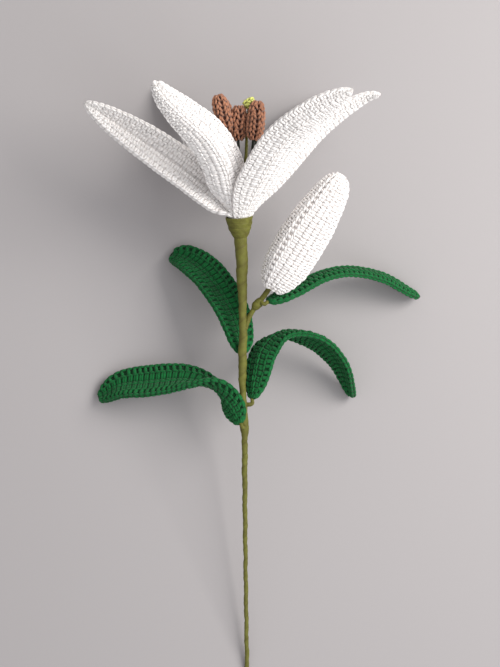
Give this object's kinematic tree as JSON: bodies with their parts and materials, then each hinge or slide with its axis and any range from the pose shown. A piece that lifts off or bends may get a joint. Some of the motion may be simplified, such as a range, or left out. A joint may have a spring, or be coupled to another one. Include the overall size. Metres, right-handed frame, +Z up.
{
  "type": "crocheted lily stem",
  "caption": "Crocheted white lily on a taped wire stem, with an open bloom, a closed bud and arching green leaves, lying on a surface.",
  "frame": {"origin": "middle of the part's box, on the surface it lies on", "axes": "+Z up from the surface, +Y along the stem from its cut end towards the bloom, +X to the right of the stem seen from above"},
  "size_m": [0.219, 0.3924, 0.1387],
  "materials": {
    "white_yarn": "matt twisted cotton yarn, warm white",
    "green_yarn": "soft twisted acrylic yarn, emerald green",
    "brown_yarn": "matt twisted yarn, cinnamon brown",
    "lime_yarn": "matt twisted yarn, yellow-green",
    "olive_tape": "stretched waxed crepe paper tape, olive green, slight sheen",
    "dark_tape": "waxed crepe paper tape, very dark green",
    "stuffing": "loose polyester fibre",
    "wire": "bare drawn florist wire"
  },
  "bodies": {
    "root": {"petal_left": "white_yarn", "petal_front_left": "white_yarn", "petal_front_right": "white_yarn", "petal_right": "white_yarn", "petal_back_right": "white_yarn", "petal_back_left": "white_yarn", "petal_left_wire": "wire", "petal_front_left_wire": "wire", "petal_front_right_wire": "wire", "petal_right_wire": "wire", "petal_back_right_wire": "wire", "petal_back_left_wire": "wire", "leaf_upper_left": "green_yarn", "leaf_upper_right": "green_yarn", "leaf_lower_right": "green_yarn", "leaf_lower_left": "green_yarn", "leaf_upper_left_wire": "wire", "leaf_upper_right_wire": "wire", "leaf_lower_right_wire": "wire", "leaf_lower_left_wire": "wire", "cup_tape": "olive_tape", "anther_1": "brown_yarn", "anther_2": "brown_yarn", "anther_3": "brown_yarn", "anther_4": "brown_yarn", "anther_5": "brown_yarn", "anther_6": "brown_yarn", "filament_1": "dark_tape", "filament_2": "dark_tape", "filament_3": "dark_tape", "filament_4": "dark_tape", "filament_5": "dark_tape", "filament_6": "dark_tape", "style": "olive_tape", "stigma": "lime_yarn", "stem_tape_lower": "olive_tape", "stem_tape_upper": "olive_tape", "stem_wire": "wire", "side_stem_tape": "olive_tape", "tape_knot": "olive_tape", "side_stem_wire": "wire", "bud_panel_1": "white_yarn", "bud_panel_2": "white_yarn", "bud_panel_3": "white_yarn", "bud_stuffing": "stuffing"}
  },
  "joints": []
}
